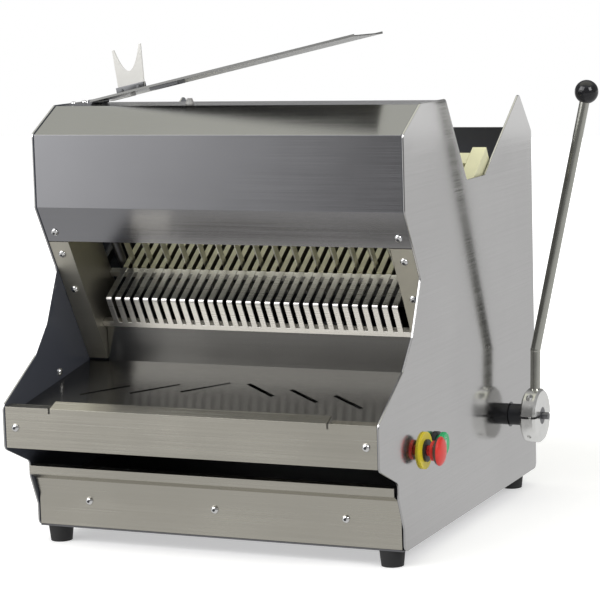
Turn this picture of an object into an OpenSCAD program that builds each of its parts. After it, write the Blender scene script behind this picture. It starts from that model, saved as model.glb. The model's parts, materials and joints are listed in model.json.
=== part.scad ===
// Table-top bread slicer with reciprocating blade frames, a lever-driven pusher and a crumb drawer.
// Millimetres, +Z up, front towards -Y. The origin lies on the standing surface, midway between the
// side panels and at half the depth of the base.

/* [Casing] */
// Width over the two side panels
body_w = 530; // [500:1:580]
// Room between the motor and the rear edge
rear_room = 20; // [16:1:26]
// Room between the raised blade frames and the top of the hood
hood_room = 19; // [16:1:24]
// Thickness of the side panels
panel_t = 3; // [2:0.5:4]
// Thickness of the folded sheet covers
sheet_t = 2; // [1:0.5:2.5]
// Side gap between a cover and the panel beside it
cover_gap = 0.5; // [0.2:0.1:0.8]
// How far the covers sit behind the panel edges
edge_inset = 1.5; // [0.5:0.5:3]

/* [Feet] */
// Height of the rubber feet
foot_h = 22; // [12:1:35]
// Diameter of the rubber feet
foot_d = 34; // [26:1:40]
// Distance of the feet from the panels' outside
foot_inset = 25; // [24:1:35]
// Distance of the front feet from the front edge of the base
foot_front = 18; // [18:1:60]
// Distance of the rear feet from the rear edge of the base
foot_rear = 40; // [22:1:80]

/* [Panel outline] */
// How far the lower front edge leans out
toe_out = 18; // [10:1:22]
// Height where the lower front edge starts to lean out
toe_z = 30; // [20:1:40]
// Height where the lean ends
knee_z = 72; // [66:1:80]
// Height where the panel steps forward to the tray
step_z = 92; // [90:1:100]
// How far the tray end stands ahead of the base
tip_out = 80; // [70:1:95]
// Lower corner height of the tray end
tip_low_z = 120; // [112:1:124]
// Upper corner height of the tray end
tip_high_z = 178; // [172:1:190]
// Depth of the first bend above the tray end
elbow_y = 8; // [0:1:16]
// Height of the first bend above the tray end
elbow_z = 230; // [220:1:240]
// Depth of the second bend above the tray end
bend_y = 42; // [34:1:50]
// Height of the second bend above the tray end
bend_z = 268; // [260:1:280]
// Depth of the waist under the hood
waist_y = 76; // [68:1:84]
// Height of the waist under the hood
waist_z = 339; // [332:1:346]
// Depth of the hood's upright face
face_y = 26; // [20:1:30]
// Height of the fold under the upright face
fold_z = 427; // [422:1:434]
// Depth where the top of the hood starts
chamfer_y = 90; // [80:1:100]
// Height of the chamfer at the top of the hood
chamfer_h = 35; // [28:1:38]
// Depth where the top of the hood ends
hood_back_y = 181.6; // [176:0.2:188]
// Distance of the rear peak from the rear edge
peak_in = 53; // [45:1:60]
// Height of the rear edge of the panel
back_z = 494; // [485:1:500]
// Rounding of the panel corners
corner_r = 9; // [3:1:12]

/* [Feed] */
// Slope of the bread bed
feed_angle = 34; // [33:0.5:35]
// Depth of the front edge of the outfeed comb
ridge_y = 121; // [116:1:126]
// Height of the front edge of the outfeed comb
ridge_z = 294; // [290:1:298]
// Front side of the loading notch, measured up the bed
notch_s = 199; // [195:1:204]
// Height of the notch's rear side above the bed
notch_n = 10.5; // [8:0.5:14]
// Height of the notch's flat bottom above the corner of its sides
notch_rise = 34; // [30:1:38]
// Length of the bread bed behind the blades
bed_l = 208; // [190:1:215]
// Thickness of the bread bed
bed_t = 12; // [8:1:14]
// Length of the bed's slots behind the blades
bed_slot_l = 70; // [50:1:80]

/* [Blades] */
// Distance from blade to blade, the slice thickness
blade_pitch = 14; // [12:0.5:18]
// Width of a blade
blade_w = 12; // [8:0.5:13]
// Thickness of a blade
blade_t = 0.8; // [0.5:0.1:1.2]
// Place of the front blade row, measured up the bed
row_s = 78; // [76:1:79]
// Distance between the two blade rows
row_gap = 22; // [21:0.5:24]
// Throw of the eccentrics, half the blade stroke
crank_throw = 11; // [6:0.5:12]
// Top of the blade frames above the bed
frame_top_n = 213; // [205:1:215]
// Depth of the frame's lower edge below the bed
frame_low_n = 62; // [56:1:66]
// Height of a frame bar
bar_h = 18; // [14:1:22]
// Width of a frame bar
bar_w = 20; // [16:1:20]
// Diameter of the frame's guide rods
rod_d = 12; // [10:1:14]

/* [Comb and tray] */
// Width of a comb finger
finger_w = 8; // [6:0.5:9]
// Thickness of the comb's sheet
comb_t = 2.5; // [1.5:0.5:3]
// Length of the comb's upper leg
comb_up = 64; // [58:1:65]
// Length of the comb's lower leg
comb_down = 50; // [40:1:56]
// Slope of the comb's lower leg
comb_fall = 60; // [55:1:65]
// Slope of the outfeed tray
tray_angle = 9.7; // [8:0.1:11]
// Height of the tray at the front lip
tray_z = 162; // [156:1:166]
// Height of the upstand behind the tray
riser_h = 48; // [40:1:50]
// Width of the posts beside the outlet
post_w = 30; // [26:1:32]
// Depth of the posts' inner walls
post_d = 78; // [70:1:80]
// Length of the hood's slanted lower face
hood_low = 56; // [50:1:64]
// Lower end of the hood's rear wall above the bed
hood_rear_n = 118; // [112:1:130]

/* [Pusher and lever] */
// Distance of the lever shaft behind the crankshaft
lever_back = 116.4; // [112:0.2:120]
// Height of the lever shaft
lever_z = 100; // [96:1:104]
// Diameter of the lever shaft
lever_d = 24; // [20:1:28]
// Length of the pusher's travel
push_stroke = 150; // [140:1:152]
// Length of the drive arms inside
arm_l = 165; // [155:1:175]
// Height of the pusher above the bed
push_h = 29; // [22:1:32]
// Diameter of the lever hub
hub_d = 76; // [66:1:84]
// Thickness of the lever hub
hub_t = 22; // [20:1:26]
// Length of the sleeve between panel and hub
sleeve_l = 24; // [18:1:32]
// Diameter of the lever rod
lever_rod_d = 14; // [12:1:16]
// Height of the lever's bend above the shaft
lever_bend_h = 92; // [80:1:110]
// Length of the lever rod above its bend
lever_l = 354; // [300:1:380]
// Outward lean of the lever above its bend
lever_splay = 11.2; // [6:0.2:14]
// Backward lean of the lever at rest
lever_lean = 4; // [0:1:8]
// Diameter of the ball knob
knob_d = 33; // [28:1:40]

/* [Drive] */
// Depth of the crankshaft below the bed
crank_n = 200; // [196:1:205]
// Diameter of the crankshaft
crank_d = 20; // [16:1:24]
// Diameter of the eccentrics
ecc_d = 36; // [32:1:38]
// Diameter of the driven pulley
pulley_big = 118; // [105:1:124]
// Diameter of the motor pulley
pulley_small = 62; // [54:1:66]
// Distance of the motor axis behind the crankshaft
motor_back = 148.4; // [144:0.2:152]
// Height of the motor axis above the crankshaft
motor_up = 84; // [80:1:90]
// Diameter of the motor
motor_d = 120; // [100:1:124]
// Length of the motor
motor_l = 190; // [150:1:210]

/* [Front and drawer] */
// Height of the crumb drawer's tray
drawer_h = 58; // [45:1:64]
// Depth of the crumb drawer
drawer_d = 244; // [200:1:246]
// Reach of the drawer's grip lip ahead of the base
grip_out = 24; // [20:1:28]
// Height of the drawer's grip lip
grip_z = 87; // [84:1:89]
// Depth of the front rail's top lip
lip_d = 17; // [10:1:20]

/* [Controls] */
// Depth of the stop button
stop_y = 73; // [66:1:78]
// Depth of the start button
start_y = 119; // [114:1:126]
// Height of the buttons
button_z = 117; // [114:1:122]
// Diameter of the stop button's head
stop_d = 38; // [34:1:42]
// Diameter of the yellow collar
collar_d = 48; // [44:1:52]
// Diameter of the start button's stem
start_d = 22; // [18:1:24]
// Diameter of the start button's cap
start_cap_d = 31; // [26:1:34]

/* [Bagging scoop] */
// Length of the scoop plate
scoop_l = 395; // [320:1:410]
// Depth of the scoop plate
scoop_d = 100; // [80:1:102]
// Tilt of the scoop at rest
scoop_tilt = 12; // [10:0.2:20]
// Width of the bag fork
fork_w = 45; // [36:1:50]
// Height of the bag fork above the scoop plate
fork_h = 62; // [50:1:70]

/* [Hidden] */
$fn = 48;

// Shared clearances and small sizes
run_gap = 0.05;
slide_gap = 0.4;
seat_gap = 0.3;
body_gap = 1;
cut = 1;
corner_steps = 5;
half_turn = 180;
full_turn = 2 * half_turn;

// Stations across the machine, from the panel inwards
inner_x = body_w / 2 - panel_t;
cover_x = inner_x - cover_gap;
rail_w = 4;
rail_h = 12;
cheek_t = 12;
cheek_gap = 1.5;
cheek_x = inner_x - cheek_gap - cheek_t;
arm_gap = 4;
arm_t = 6;
arm_x = cheek_x - arm_gap - arm_t;
bed_x = arm_x - arm_gap;
guide_rod_inset = 14.5;
guide_rod_x = bed_x - guide_rod_inset;
plate_inset = 12;
plate_t = 4;
plate_x = guide_rod_x - plate_inset - plate_t;
post_x = inner_x - post_w;

// Blade and finger pattern
row_half = floor((guide_rod_x - rod_d / 2 - finger_w / 2) / blade_pitch);
finger_xs = [for (i = [-row_half:row_half]) i * blade_pitch];
blade_xs = [for (i = [-row_half:row_half - 1]) (i + 0.5) * blade_pitch];

// Feed frame: s runs up the bed from the comb's front edge, n stands square above the bed
function feed_y(s, n) = ridge_y + s * cos(feed_angle) - n * sin(feed_angle);
function feed_z(s, n) = ridge_z + s * sin(feed_angle) + n * cos(feed_angle);
function feed_point(s, n) = [feed_y(s, n), feed_z(s, n)];
function feed_s(y, z) = (y - ridge_y) * cos(feed_angle) + (z - ridge_z) * sin(feed_angle);
function feed_n(y, z) = (z - ridge_z) * cos(feed_angle) - (y - ridge_y) * sin(feed_angle);
function s_at_z(n, z) = (z - ridge_z - n * cos(feed_angle)) / sin(feed_angle);
function n_at_z(s, z) = (z - ridge_z - s * sin(feed_angle)) / cos(feed_angle);
function s_at_y(n, y) = (y - ridge_y + n * sin(feed_angle)) / cos(feed_angle);

// Drive stations, and the overall sizes that follow from them
row_b_s = row_s + row_gap;
crank_s = row_s + row_gap / 2;
crank_point = feed_point(crank_s, -crank_n);
lever_y = crank_point.x + lever_back;
motor_y = crank_point.x + motor_back;
motor_z = crank_point.y + motor_up;
motor_point = [motor_y, motor_z];
body_d = round(motor_y + motor_d / 2 + rear_room);
body_h = round(feed_z(row_b_s + bar_w / 2, frame_top_n + crank_throw) + hood_room);
peak_y = body_d - peak_in;
notch_z = feed_z(notch_s, notch_n) + notch_rise;

// Outline helpers: points are [depth, height], offsets go to the right of the direction of travel
function heading(a, b) = (b - a) / norm(b - a);
function right_of(d) = [d.y, -d.x];
function reversed(list) = [for (i = [len(list) - 1:-1:0]) list[i]];
function offset_path(p, t) = [
    for (i = [0:len(p) - 1])
        let (
            d0 = i == 0 ? heading(p[0], p[1]) : heading(p[i - 1], p[i]),
            d1 = i == len(p) - 1 ? d0 : heading(p[i], p[i + 1]),
            n0 = right_of(d0),
            n1 = right_of(d1)
        ) p[i] + (n0 + n1) * t / (1 + n0 * n1)
];
function sheet(p, t) = concat(p, reversed(offset_path(p, t)));
function corner(a, p, b, r) =
    let (
        u = heading(p, a),
        v = heading(p, b),
        half = acos(u * v) / 2,
        centre = p + heading([0, 0], u + v) * r / sin(half),
        start = p + u * r / tan(half) - centre,
        finish = p + v * r / tan(half) - centre,
        from = atan2(start.y, start.x),
        turn = (atan2(finish.y, finish.x) - from + full_turn + half_turn) % full_turn - half_turn
    ) [for (i = [0:corner_steps]) centre + r * [cos(from + turn * i / corner_steps),
                                                sin(from + turn * i / corner_steps)]];
function rounded(p, r) = [
    for (i = [0:len(p) - 1])
        each corner(p[(i + len(p) - 1) % len(p)], p[i], p[(i + 1) % len(p)], r)
];

// Side panel outline
chamfer_z = body_h - chamfer_h;
fold_point = [face_y, fold_z];
waist_point = [waist_y, waist_z];
lower_heading = heading(fold_point, waist_point);
notch_top = [hood_back_y, body_h];
notch_front = feed_point(notch_s, n_at_z(notch_s, notch_z));
notch_rear = feed_point(s_at_z(notch_n, notch_z), notch_n);
peak_point = feed_point(s_at_y(notch_n, peak_y), notch_n);
panel_outline = [
    [0, 0], [0, toe_z], [-toe_out, knee_z], [-toe_out, step_z],
    [-tip_out, tip_low_z], [-tip_out, tip_high_z], [elbow_y, elbow_z], [bend_y, bend_z],
    waist_point, fold_point, [face_y, chamfer_z], [chamfer_y, body_h],
    notch_top, notch_front, notch_rear, peak_point, [body_d, back_z], [body_d, 0]
];

// Hood, posts and tray
hood_outer = offset_path([
    fold_point + lower_heading * hood_low, fold_point, [face_y, chamfer_z], [chamfer_y, body_h],
    notch_top, feed_point(notch_s, hood_rear_n)
], edge_inset);
hood_top_z = hood_outer[3].y;
hood_top_y = hood_outer[4].x;
lower_out = -right_of(-lower_heading);
tray_front = [-tip_out + sheet_t + edge_inset, tray_z];
post_foot_share = 0.985;
post_top = hood_outer[0] + lower_heading * body_gap;
tray_rise = tan(tray_angle);
post_run = (tray_z + (post_top.x - tray_front.x) * tray_rise - post_top.y)
    / (lower_heading.y - lower_heading.x * tray_rise);
post_foot = post_top + lower_heading * post_run * post_foot_share;
tray_fold = post_top + lower_heading * post_run;
riser_x = post_x - body_gap;
riser_top = tray_fold + [-edge_inset, riser_h];

// Front rail
rail_y = -tip_out + edge_inset;
rail_top = tip_high_z - edge_inset;
rail_low = tip_low_z + sheet_t;
rail_flange = 24;
lip_rise = 7;
slit_share = 0.75;
slit_w = 2.5;

// Drawer face, from its lower edge to the rolled grip
face_low = 3;
face_flat_share = 0.52;
flare_out_share = 0.35;
flare_up_share = 0.72;
grip_h = 11;
grip_back = 12;
drawer_skin = 1.5;
face_flat = grip_z * face_flat_share;
drawer_face = [
    [0, face_low], [0, face_flat],
    [-grip_out * flare_out_share, face_flat + (grip_z - grip_h - face_flat) * flare_up_share],
    [-grip_out, grip_z - grip_h], [-grip_out, grip_z], [grip_back - grip_out, grip_z + drawer_skin]
];
drawer_x = cover_x - body_gap;

// Fasteners
screw_d = 5;
screw_head = 11;
screw_head_h = 4;
screw_l = 6;
screw_hole = screw_d + 2 * seat_gap;
screw_x = inner_x - post_w / 2;
hood_screw_share = 0.72;
hood_screw = fold_point + lower_heading * hood_low * hood_screw_share - lower_out * edge_inset;
post_screw_shares = [0.1, 0.4];
post_screws = [for (k = post_screw_shares) post_top + (post_foot - post_top) * k];
rail_screw = [rail_y, (rail_top + rail_low) / 2];
drawer_screw_drop = 7;
drawer_screw_share = 0.71;
drawer_screw = [0, face_flat - drawer_screw_drop];
drawer_screw_xs = [for (k = [-1:1]) k * drawer_x * drawer_screw_share];
cover_y = body_d - edge_inset;
cover_screw_shares = [0.06, 0.5, 0.94];
cover_low = sheet_t + cover_gap;
cover_screws = [for (k = cover_screw_shares) [cover_y, cover_low + (back_z - cover_low) * k]];
cover_screw_inset = 14;
cover_screw_x = cover_x - cover_screw_inset;
tray_screw_y = 70;

// Pusher and bed stations
shaft_s = feed_s(lever_y, lever_z);
shaft_n = feed_n(lever_y, lever_z);
arm_swing = asin(push_stroke / 2 / arm_l);
pin_s = shaft_s + push_stroke / 2;
pin_n = shaft_n + arm_l * cos(arm_swing);
bed_gap = 6;
tip_gap = 2;
bed_front = row_b_s + blade_w / 2 + bed_gap;
bed_solid = bed_front + bed_slot_l;
bed_tip = comb_up + tip_gap;
bed_end = bed_front + bed_l;

// Material colours
steel = [0.62, 0.62, 0.60];
bright = [0.80, 0.80, 0.78];
dark_paint = [0.22, 0.23, 0.25];
black = [0.05, 0.05, 0.055];
cream = [0.86, 0.82, 0.62];

// Placement helpers
module in_casing() {
    translate([0, -body_d / 2, foot_h]) children();
}
module slab(x, t, points) {
    translate([x, 0, 0]) rotate([90, 0, 90]) linear_extrude(t) polygon(points);
}
module feed() {
    translate([0, ridge_y, ridge_z]) rotate([feed_angle, 0, 0]) children();
}
module both() {
    children();
    mirror([1, 0, 0]) children();
}
module across(x, p, d, l) {
    translate([x, p.x, p.y]) rotate([0, 90, 0]) cylinder(d = d, h = l);
}
module ring(x, p, d, bore, l) {
    difference() {
        across(x, p, d, l);
        across(x - cut, p, bore, l + 2 * cut);
    }
}
module on_face(x, p, out) {
    translate([x, p.x, p.y]) rotate([atan2(-out.x, out.y), 0, 0]) children();
}
module hole_on(x, p, out) {
    on_face(x, p, out) translate([0, 0, -screw_l]) cylinder(d = screw_hole, h = 2 * screw_l);
}
module dome_screw(l) {
    dome_steps = 6;
    rotate_extrude()
        polygon(concat(
            [[0, -l], [screw_d / 2, -l], [screw_d / 2, 0]],
            [for (i = [0:dome_steps]) [screw_head / 2 * cos(90 * i / dome_steps),
                                       screw_head_h * sin(90 * i / dome_steps)]]
        ));
}

// Casing
module side_panel(x) {
    slab(x, panel_t, rounded(panel_outline, corner_r));
}
bush_wall = 5;
bearing_d = lever_d + 2 * bush_wall;
barrel_d = 22;
barrel_wall = 3;
start_barrel_d = start_d + 2 * barrel_wall;
module left_side_panel() {
    color(steel) difference() {
        side_panel(-body_w / 2);
        across(-body_w / 2 - cut, [lever_y, lever_z], bearing_d + 2 * seat_gap, panel_t + 2 * cut);
    }
}
module right_side_panel() {
    color(steel) difference() {
        side_panel(inner_x);
        across(inner_x - cut, [lever_y, lever_z], bearing_d + 2 * seat_gap, panel_t + 2 * cut);
        across(inner_x - cut, [stop_y, button_z], barrel_d + 2 * seat_gap, panel_t + 2 * cut);
        across(inner_x - cut, [start_y, button_z], start_barrel_d + 2 * seat_gap, panel_t + 2 * cut);
    }
}
module base_plate() {
    color(steel) slab(-cover_x, 2 * cover_x, [
        [edge_inset, 0], [cover_y - sheet_t - cover_gap, 0],
        [cover_y - sheet_t - cover_gap, sheet_t], [edge_inset, sheet_t]
    ]);
}
module feet() {
    foot_x = body_w / 2 - foot_inset;
    foot_waist_share = 0.86;
    color(black) for (x = [-foot_x, foot_x], y = [foot_front, body_d - foot_rear])
        translate([x, y, -foot_h]) cylinder(d1 = foot_d * foot_waist_share, d2 = foot_d, h = foot_h);
}
module rear_cover() {
    vent_w = 60;
    vent_h = 6;
    vent_pitch = 16;
    vent_rows = 6;
    vent_z = motor_z;
    color(dark_paint) difference() {
        slab(-cover_x, 2 * cover_x, [
            [cover_y - sheet_t, cover_low], [cover_y, cover_low],
            [cover_y, back_z - edge_inset], [cover_y - sheet_t, back_z - edge_inset]
        ]);
        for (side = [-1, 1], i = [0:vent_rows - 1])
            translate([side * vent_w - vent_w / 2, cover_y - sheet_t - cut, vent_z - i * vent_pitch])
                cube([vent_w - vent_pitch, sheet_t + 2 * cut, vent_h]);
        both() for (p = cover_screws) hole_on(cover_screw_x, p, [1, 0]);
        translate([gland_x, cover_y + cut, gland_z]) rotate([90, 0, 0])
            cylinder(d = gland_d + 2 * seat_gap, h = sheet_t + 2 * cut);
    }
}
module rear_guard() {
    guard_front = feed_point(bed_end + sheet_t + cover_gap, -bed_t / 2);
    guard_over = 5;
    guard_y = cover_y - screw_l - body_gap - sheet_t;
    guard_rise_share = 0.88;
    guard_path = [guard_front, [guard_y, back_z * guard_rise_share], [guard_y, back_z + guard_over]];
    guard_x = cheek_x - body_gap;
    color(black) slab(-guard_x, 2 * guard_x, sheet(guard_path, sheet_t));
}
module front_hood() {
    color(dark_paint) difference() {
        slab(-cover_x, 2 * cover_x, sheet(hood_outer, sheet_t));
        both() hole_on(screw_x, hood_screw, lower_out);
    }
}
module post() {
    difference() {
        union() {
            slab(post_x, post_w - cover_gap, sheet([post_foot, post_top], sheet_t));
            slab(post_x, sheet_t, sheet([post_foot, post_top], post_d));
        }
        for (p = post_screws) hole_on(screw_x, p, lower_out);
    }
}
module left_post() { color(bright) mirror([1, 0, 0]) post(); }
module right_post() { color(bright) post(); }
module front_rail() {
    slit_x = cover_x * slit_share;
    face = [[rail_y + rail_flange, rail_low], [rail_y, rail_low], [rail_y, rail_top]];
    mid = concat(face, [[rail_y + lip_d, rail_top + lip_rise]]);
    side = concat(face, [[rail_y + lip_d, rail_top + edge_inset]]);
    color(bright) difference() {
        union() {
            slab(-cover_x, cover_x - slit_x - slit_w / 2, sheet(side, sheet_t));
            slab(-slit_x - slit_w, 2 * (slit_x + slit_w), sheet(face, sheet_t));
            slab(-slit_x + slit_w / 2, 2 * slit_x - slit_w, sheet(mid, sheet_t));
            slab(slit_x + slit_w / 2, cover_x - slit_x - slit_w / 2, sheet(side, sheet_t));
        }
        both() hole_on(screw_x, rail_screw, [-1, 0]);
        both() translate([slit_x - slit_w / 2, rail_y - cut, rail_top - lip_rise])
            cube([slit_w, lip_d, 2 * lip_rise]);
    }
}
module outfeed_tray() {
    slot_l = 68;
    slot_w = 6;
    slot_turn = 37.5;
    slot_count = 3;
    slot_step = 68;
    slot_back = 14;
    slot_x = 40;
    slot_y = 67;
    tray_middle = tray_front + (tray_fold - tray_front) / 2;
    color(bright) difference() {
        union() {
            slab(-cover_x, 2 * cover_x, sheet([tray_front, tray_fold], sheet_t));
            slab(-riser_x, 2 * riser_x, sheet([tray_middle, tray_fold, riser_top], sheet_t));
        }
        both() for (i = [0:slot_count - 1])
            translate([slot_x + i * slot_step, slot_y - i * slot_back, 0]) rotate([0, 0, -slot_turn])
                translate([-slot_l / 2, -slot_w / 2, 0]) cube([slot_l, slot_w, ridge_z]);
    }
}
module outfeed_comb() {
    brace = 8;
    fall = [cos(comb_fall + feed_angle), -sin(comb_fall + feed_angle)];
    foot = fall * comb_down;
    nose_r = 5;
    nose = corner([comb_up, 0], [0, 0], foot, nose_r);
    finger = sheet(concat([[comb_up, 0]], nose, [foot]), -comb_t);
    comb_x = post_x - cover_gap / 2;
    color(bright) feed() union() {
        for (x = finger_xs) slab(x - finger_w / 2, finger_w, finger);
        slab(-comb_x, 2 * comb_x, [[comb_up, -comb_t - brace], [comb_up, -comb_t / 2],
                                   [comb_up - brace, -comb_t / 2], [comb_up - brace, -comb_t - brace]]);
        slab(-comb_x, 2 * comb_x, sheet([foot - fall * brace, foot], -comb_t - brace));
    }
}
module bread_bed() {
    color(cream) feed() {
        slab(-bed_x, 2 * bed_x, [[bed_solid, -bed_t], [bed_end, -bed_t], [bed_end, 0], [bed_solid, 0]]);
        for (x = finger_xs) slab(x - finger_w / 2, finger_w, [
            [bed_tip, -bed_t], [bed_solid + cut, -bed_t], [bed_solid + cut, 0], [bed_tip, 0]
        ]);
    }
}
module dome_screws() {
    tray_screw_z = tray_z + (tray_screw_y - tray_front.x) * tray_rise + screw_head;
    color(bright) both() {
        on_face(screw_x, hood_screw, lower_out) dome_screw(screw_l);
        for (p = post_screws) on_face(screw_x, p, lower_out) dome_screw(screw_l);
        on_face(screw_x, rail_screw, [-1, 0]) dome_screw(screw_l);
        for (p = cover_screws) on_face(cover_screw_x, p, [1, 0]) dome_screw(screw_l);
        translate([inner_x, tray_screw_y, tray_screw_z]) rotate([0, -90, 0])
            intersection() {
                dome_screw(screw_l);
                cylinder(d = screw_head, h = screw_head);
            }
    }
}

// Drive frame inside the casing
guide_pad = 8;
guide_wall = 3;
guide_h = 22;
guide_drop = 36;
guide_low_n = frame_low_n + crank_throw + guide_drop;
guide_up_n = 128;
guide_front = row_s - rod_d / 2 - guide_pad;
guide_rear = row_b_s + rod_d / 2 + guide_pad;
bearing_block = 44;
module drive_plate() {
    plate_gap = 10;
    plate_rim = 4;
    plate_lap = 10;
    plate_front = drawer_skin + drawer_d + plate_gap;
    plate_rear = cover_y - sheet_t - plate_gap;
    plate_s = bed_front + plate_rim;
    plate_n = plate_lap - guide_low_n;
    plate_points = [
        [plate_front, sheet_t], [plate_rear, sheet_t], [plate_rear, shelf_z + shelf_t],
        feed_point(bed_end - plate_lap, -bed_t), feed_point(plate_s, -bed_t), feed_point(plate_s, plate_n),
        feed_point(guide_front - plate_rim, plate_n),
        feed_point(guide_front - plate_rim, -guide_low_n - guide_h - plate_lap)
    ];
    window_d = 90;
    window = [motor_y - window_d, motor_z + window_d / 2];
    shaft_hole = lever_d + 2 * plate_rim;
    difference() {
        slab(plate_x, plate_t, plate_points);
        across(plate_x - cut, crank_point, crank_d + 2 * body_gap, plate_t + 2 * cut);
        across(plate_x - cut, [lever_y, lever_z], shaft_hole, plate_t + 2 * cut);
        across(plate_x - cut, window, window_d, plate_t + 2 * cut);
    }
}
module left_drive_plate() { color(steel) mirror([1, 0, 0]) drive_plate(); }
module right_drive_plate() { color(steel) drive_plate(); }
module guide_block(x0, x1, low_n) {
    difference() {
        slab(x0, x1 - x0, [
            [guide_front, low_n], [guide_rear, low_n],
            [guide_rear, low_n + guide_h], [guide_front, low_n + guide_h]
        ]);
        for (s = [row_s, row_b_s]) translate([guide_rod_x, s, low_n - cut])
            cylinder(d = rod_d + 2 * run_gap, h = guide_h + 2 * cut);
    }
}
module frame_guides() {
    color(bright) feed() both() {
        guide_block(guide_rod_x - rod_d / 2 - guide_wall, inner_x, guide_up_n);
        guide_block(plate_x + plate_t, guide_rod_x + plate_inset, -guide_low_n - guide_h);
    }
}
cheek_ahead = 17;
cheek_behind = 80;
cheek_front = pin_s - cheek_ahead;
cheek_rear = pin_s + cheek_behind;
rail_drop = 26;
rail_n = -rail_drop;
module pusher_rails() {
    rail_over = 6;
    rail_front = cheek_front - push_stroke - rail_over;
    rail_rear = cheek_rear + rail_over;
    color(bright) feed() both() slab(inner_x - rail_w, rail_w, [
        [rail_front, rail_n], [rail_rear, rail_n],
        [rail_rear, rail_n + rail_h], [rail_front, rail_n + rail_h]
    ]);
}
module crank_bearings() {
    block_t = 12;
    color(dark_paint) both()
        ring(plate_x - block_t, crank_point, bearing_block, crank_d + 2 * run_gap, block_t);
}
module lever_bearings() {
    bush_l = 14;
    color(dark_paint) both() difference() {
        union() {
            across(inner_x - bush_l, [lever_y, lever_z], bearing_d + 2 * bush_wall, bush_l);
            across(inner_x - bush_l, [lever_y, lever_z], bearing_d, bush_l + panel_t);
        }
        across(inner_x - bush_l - cut, [lever_y, lever_z], lever_d + 2 * run_gap,
               bush_l + panel_t + 2 * cut);
    }
}
shelf_t = 4;
motor_lift = 6;
shelf_z = motor_z - motor_d / 2 - motor_lift - shelf_t;
module motor_shelf() {
    shelf_half = motor_d / 2;
    belt_room = 5;
    color(steel) difference() {
        slab(-plate_x, 2 * plate_x, [
            [motor_y - shelf_half, shelf_z], [motor_y + shelf_half, shelf_z],
            [motor_y + shelf_half, shelf_z + shelf_t], [motor_y - shelf_half, shelf_z + shelf_t]
        ]);
        translate([pulley_x - belt_room, motor_y - shelf_half - cut, shelf_z - cut])
            cube([pulley_w + 2 * belt_room, shelf_half + cut, shelf_t + 2 * cut]);
    }
}
pulley_w = 20;
pulley_inset = 16;
motor_gap = 28;
pulley_x = pulley_inset - plate_x;
motor_x = pulley_x + pulley_w + motor_gap;
module motor_body() {
    rib_count = 9;
    rib_t = 4;
    rib_h = 3;
    foot_pad = 34;
    foot_share = 0.4;
    box_h = 26;
    box_l = motor_l / 3;
    color(dark_paint) difference() {
        union() {
            across(motor_x, motor_point, motor_d - 2 * rib_h, motor_l);
            for (i = [0:rib_count - 1])
                across(motor_x + motor_l * (i + 1) / (rib_count + 1), motor_point, motor_d, rib_t);
            for (x = [motor_x + motor_l / 4, motor_x + motor_l * 3 / 4])
                translate([x - foot_pad / 2, motor_y - motor_d * foot_share, shelf_z + shelf_t])
                    cube([foot_pad, 2 * motor_d * foot_share, motor_d / 4]);
            translate([motor_x + box_l, motor_y - foot_pad, motor_z + motor_d / 2 - box_h / 2])
                cube([box_l, 2 * foot_pad, box_h]);
        }
        across(motor_x - cut, motor_point, motor_shaft_d + 2 * run_gap, box_l);
    }
}
// Loop around two circles: the circles and the quadrilateral between their tangent points
module belt_loop(r_big, r_small) {
    run = motor_point - crank_point;
    span = norm(run);
    along = run / span;
    side = [-along.y, along.x];
    lean = asin((r_big - r_small) / span);
    up = along * sin(lean) + side * cos(lean);
    down = along * sin(lean) - side * cos(lean);
    translate(crank_point) circle(r_big);
    translate(motor_point) circle(r_small);
    polygon([crank_point + up * r_big, motor_point + up * r_small,
             motor_point + down * r_small, crank_point + down * r_big]);
}
belt_t = 8;
belt_w = 12;
belt_seat = 6;
module drive_belt() {
    big = pulley_big / 2 - belt_seat + seat_gap;
    small = pulley_small / 2 - belt_seat + seat_gap;
    color(black) translate([pulley_x + (pulley_w - belt_w) / 2, 0, 0]) rotate([90, 0, 90])
        linear_extrude(belt_w) difference() {
            belt_loop(big + belt_t, small + belt_t);
            belt_loop(big, small);
        }
}
gland_x = 150;
gland_z = 42;
gland_d = 18;
module control_box() {
    box = [110, 66, 62];
    box_gap = 24;
    color(dark_paint) translate([gland_x - box.x, cover_y - sheet_t - box_gap - box.y, sheet_t]) cube(box);
}
module cable_gland() {
    nut_d = 26;
    nut_t = 6;
    nose = 14;
    nose_share = 0.7;
    color(black) translate([gland_x, cover_y, gland_z]) rotate([-90, 0, 0]) difference() {
        union() {
            translate([0, 0, -sheet_t - nut_t]) cylinder(d = nut_d, h = nut_t, $fn = 6);
            translate([0, 0, -sheet_t - cut]) cylinder(d = gland_d, h = sheet_t + 2 * cut);
            cylinder(d = nut_d, h = nut_t, $fn = 6);
            translate([0, 0, nut_t]) cylinder(d1 = gland_d, d2 = gland_d * nose_share, h = nose);
        }
        translate([0, 0, -nut_t * 2]) cylinder(d = gland_d / 2, h = nut_t * 4 + nose);
    }
}

// Controls on the right panel
panel_x = body_w / 2;
collar_t = 3;
bezel_t = 3;
stop_stem_d = 14;
stop_travel = 5;
stop_neck_d = 26;
stop_neck_l = 7;
stop_dome = 9;
stop_seat = panel_x + collar_t + bezel_t + stop_travel + body_gap;
barrel_l = 34;
module stop_collar() {
    color([0.93, 0.85, 0.10]) ring(panel_x, [stop_y, button_z], collar_d, barrel_d + 2 * seat_gap, collar_t);
}
module stop_housing() {
    bezel_d = 29;
    color(black) difference() {
        union() {
            across(inner_x - barrel_l, [stop_y, button_z], barrel_d, barrel_l + panel_t + collar_t + bezel_t);
            across(panel_x + collar_t, [stop_y, button_z], bezel_d, bezel_t);
            across(inner_x - barrel_l / 3, [stop_y, button_z], bezel_d, barrel_l / 3);
        }
        across(inner_x - barrel_l - cut, [stop_y, button_z], stop_stem_d + 2 * run_gap, barrel_l * 3);
    }
}
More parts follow.
